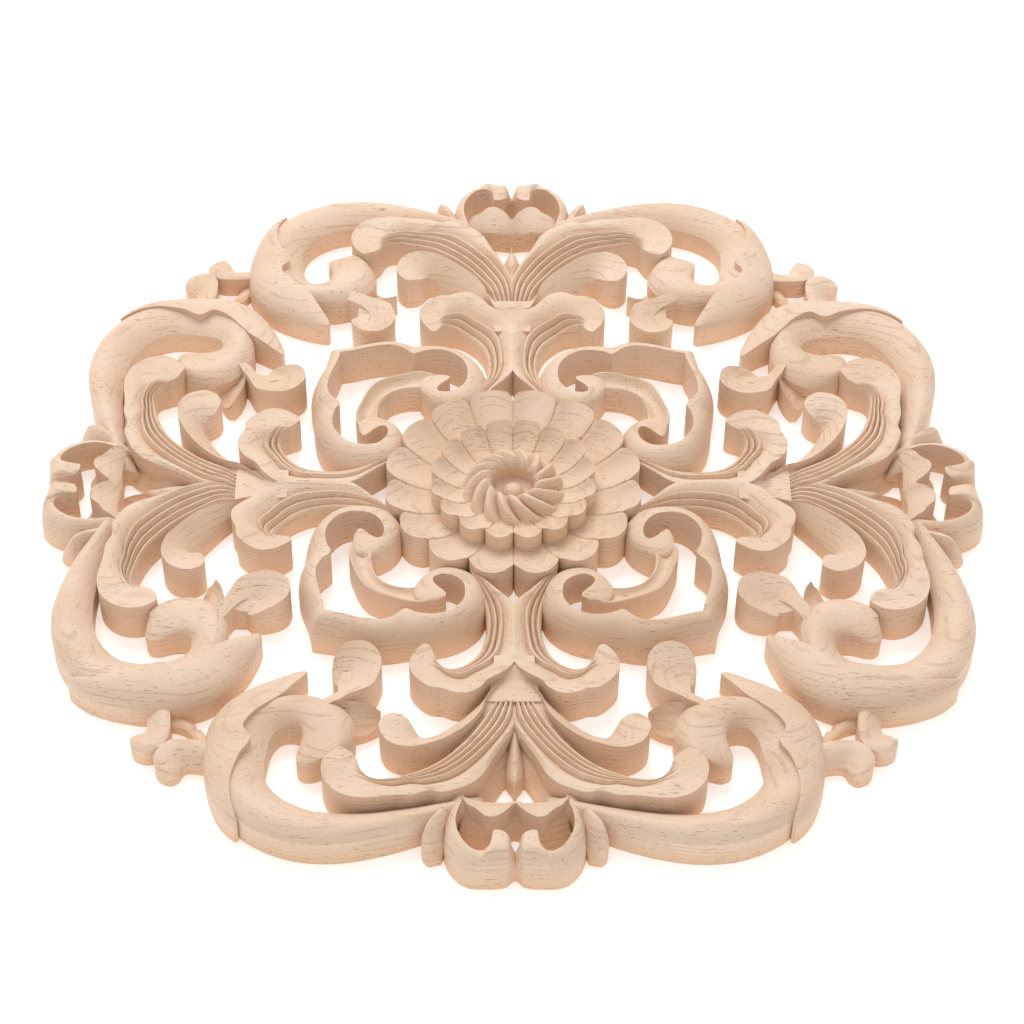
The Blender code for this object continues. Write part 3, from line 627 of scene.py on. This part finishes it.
def calculate(tree, operation, first, second=0.0, third=0.0):
    """One sum of the shader's maths, between sockets or numbers."""
    sum_node = tree.nodes.new("ShaderNodeMath")
    sum_node.operation = operation
    for k, value in enumerate((first, second, third)):
        if isinstance(value, bpy.types.NodeSocket):
            tree.links.new(value, sum_node.inputs[k])
        else:
            sum_node.inputs[k].default_value = value
    return sum_node.outputs[0]


def smooth_between(tree, value, low, high):
    """0 below low, 1 above high, and a smooth step between them."""
    band = tree.nodes.new("ShaderNodeMapRange")
    band.interpolation_type = "SMOOTHSTEP"
    band.inputs["From Min"].default_value = low
    band.inputs["From Max"].default_value = high
    tree.links.new(value, band.inputs["Value"])
    return band.outputs["Result"]


def coordinates(tree):
    """X, Y and Z of the object coordinates."""
    where = tree.nodes.new("ShaderNodeTexCoord")
    apart = tree.nodes.new("ShaderNodeSeparateXYZ")
    tree.links.new(where.outputs["Object"], apart.inputs[0])
    return apart.outputs


def blend(tree, factor, first, second):
    """Mix of two colours, given as sockets or as values."""
    mix = tree.nodes.new("ShaderNodeMix")
    mix.data_type = "RGBA"
    tree.links.new(factor, mix.inputs[0])
    for k, colour in ((6, first), (7, second)):
        if isinstance(colour, bpy.types.NodeSocket):
            tree.links.new(colour, mix.inputs[k])
        else:
            mix.inputs[k].default_value = colour
    return mix.outputs[2]


def growth_lines():
    """Thin dark lines where tilted, wavy growth layers, about 2 mm apart, come to the
    surface: the sine of the layer's height, kept only near its peaks."""
    group, out = value_group("growth lines", "Lines")
    place = coordinates(group)
    waviness = noise(group, 1.0, (9.0, 40.0, 40.0))
    layer = calculate(group, "MULTIPLY_ADD", place["Y"], LAYER_TILT, place["Z"])
    layer = calculate(group, "MULTIPLY_ADD", waviness, LAYER_WAVE, layer)
    turned = calculate(group, "MULTIPLY", layer, 2 * math.pi / GROWTH_PERIOD)
    wave = calculate(group, "SINE", turned)
    peaks = smooth_between(group, wave, 0.5, 1.0)
    faint = smooth_between(group, noise(group, 1.0, (45.0, 200.0, 200.0)), 0.42, 0.66)
    group.links.new(calculate(group, "MULTIPLY", peaks, faint), out.inputs["Lines"])
    return group


def pores():
    """Short dark pores along the grain, gathered in patches: the peaks of a noise that
    is drawn out along x."""
    group, out = value_group("pores", "Pores")
    fibres = noise(group, 1.0, (1 / PORE_LENGTH, 1 / PORE_WIDTH, 1 / PORE_WIDTH))
    patches = noise(group, 1.0, (38.0, 75.0, 75.0))
    edge = calculate(group, "MULTIPLY_ADD", patches, -0.2, 0.765)
    over = calculate(group, "SUBTRACT", fibres, edge)
    group.links.new(smooth_between(group, over, 0.0, 0.035), out.inputs["Pores"])
    return group


def cutter_ridges():
    """Height of the close, even ridges that the ball cutter leaves: the size of the
    sine of x."""
    group, out = value_group("cutter ridges", "Height")
    turned = calculate(group, "MULTIPLY", coordinates(group)["X"], math.pi / RIDGE_PERIOD)
    wave = calculate(group, "SINE", turned)
    group.links.new(calculate(group, "ABSOLUTE", wave), out.inputs["Height"])
    return group


wood = bpy.data.materials.new("pale rubberwood")
wood.use_nodes = True
tree = wood.node_tree
shader = tree.nodes["Principled BSDF"]
grain, holes, ridges = [tree.nodes.new("ShaderNodeGroup") for k in range(3)]
grain.node_tree, holes.node_tree, ridges.node_tree = growth_lines(), pores(), cutter_ridges()
tone = smooth_between(tree, noise(tree, 1.0, (14.0, 60.0, 60.0)), 0.34, 0.72)
colour = blend(tree, calculate(tree, "MULTIPLY", tone, TAN_SHARE), PALE, TAN)
# Painted glow: the lower walls turn orange towards the back, standing in for light bounced up from the lit
# floor.
high = smooth_between(tree, coordinates(tree)["Z"], 0.0, PAINTED_BOUNCE_UP_TO)
colour = blend(tree, calculate(tree, "MULTIPLY_ADD", high, -PAINTED_BOUNCE_SHARE, PAINTED_BOUNCE_SHARE), colour, PAINTED_BOUNCE_ORANGE)
colour = blend(tree, calculate(tree, "MULTIPLY", grain.outputs["Lines"], LINE_SHARE), colour, GROWTH_AND_FURROW_SHADE_BROWN)
# Painted shade: the furrows between the cutter's ridges are darkened towards brown.
shade = calculate(tree, "MULTIPLY_ADD", ridges.outputs["Height"], -PAINTED_FURROW_SHADE_SHARE, PAINTED_FURROW_SHADE_SHARE)
colour = blend(tree, shade, colour, GROWTH_AND_FURROW_SHADE_BROWN)
colour = blend(tree, calculate(tree, "MULTIPLY", holes.outputs["Pores"], PORE_SHARE), colour, PORE_BROWN)
tree.links.new(colour, shader.inputs["Base Color"])
rough = calculate(tree, "MULTIPLY_ADD", holes.outputs["Pores"], 0.2, 0.58)
tree.links.new(rough, shader.inputs["Roughness"])
shader.inputs["Specular IOR Level"].default_value = 0.35
bump = tree.nodes.new("ShaderNodeBump")
bump.inputs["Strength"].default_value = 0.5
bump.inputs["Distance"].default_value = RIDGE_DEPTH
tree.links.new(ridges.outputs["Height"], bump.inputs["Height"])
tree.links.new(bump.outputs["Normal"], shader.inputs["Normal"])
carving.data.materials.clear()
carving.data.materials.append(wood)

# Floor and light
# A sheet of lit white acrylic lies 0.2 mm below the applique's back. A wide soft lamp
# hangs above and behind it, and the room's light is pale and even.
FLOOR_DROP = 0.2 * MM
FLOOR_GLOW = 0.4
ROOM_LIGHT = 0.72
LAMP_WIDTH = 0.9
LAMP_POWER = 8.5
LAMP_PLACE = (-0.2, 0.6, 1.0)
bpy.ops.mesh.primitive_plane_add(size=6, location=(0, 0, -FLOOR_DROP))
floor = bpy.context.object
floor.name = "floor"
acrylic = bpy.data.materials.new("lit white acrylic")
acrylic.use_nodes = True
white = acrylic.node_tree.nodes["Principled BSDF"]
white.inputs["Base Color"].default_value = (0.93, 0.93, 0.93, 1)
white.inputs["Roughness"].default_value = 0.9
white.inputs["Emission Color"].default_value = (1, 1, 1, 1)
white.inputs["Emission Strength"].default_value = FLOOR_GLOW
floor.data.materials.append(acrylic)
floor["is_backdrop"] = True

world = bpy.data.worlds.new("studio")
bpy.context.scene.world = world
bpy.context.scene.view_settings.view_transform = "Standard"
world.use_nodes = True
world.node_tree.nodes["Background"].inputs["Color"].default_value = (1, 0.99, 0.98, 1)
world.node_tree.nodes["Background"].inputs["Strength"].default_value = ROOM_LIGHT

lamp_data = bpy.data.lights.new("softbox", "AREA")
lamp_data.shape = "DISK"
lamp_data.size = LAMP_WIDTH
lamp_data.energy = LAMP_POWER
lamp = bpy.data.objects.new("softbox", lamp_data)
lamp.location = LAMP_PLACE
lamp.rotation_euler = (Vector((0, 0, 0)) - lamp.location).to_track_quat("-Z", "Y").to_euler()
bpy.context.scene.collection.objects.link(lamp)

# Camera
# The camera looks down at the flower at the photograph's angle, from 0.86 m away and
# through a long lens, turned and rolled by under a degree each.
ELEVATION = math.radians(46.37)
TURN = math.radians(0.71)
ROLL = math.radians(-0.68)
SHIFT_RIGHT = 0.30 * MM
SHIFT_UP = 1.39 * MM
DISTANCE = 0.8564
FOCAL = 93.375
SENSOR = 36
rise, level = math.sin(ELEVATION), math.cos(ELEVATION)
right = Vector((math.cos(TURN), -math.sin(TURN), 0))
up = Vector((rise * math.sin(TURN), rise * math.cos(TURN), level))
forward = Vector((level * math.sin(TURN), level * math.cos(TURN), -rise))
place = -(SHIFT_RIGHT * right + SHIFT_UP * up + DISTANCE * forward)
rolled_right = math.cos(ROLL) * right - math.sin(ROLL) * up
rolled_up = math.sin(ROLL) * right + math.cos(ROLL) * up
camera_data = bpy.data.cameras.new("camera")
camera_data.lens = FOCAL
camera_data.sensor_width = SENSOR
camera = bpy.data.objects.new("camera", camera_data)
camera.matrix_world = Matrix((rolled_right, rolled_up, -forward)).transposed().to_4x4()
camera.location = place
bpy.context.scene.collection.objects.link(camera)
bpy.context.scene.camera = camera

low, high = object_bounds()
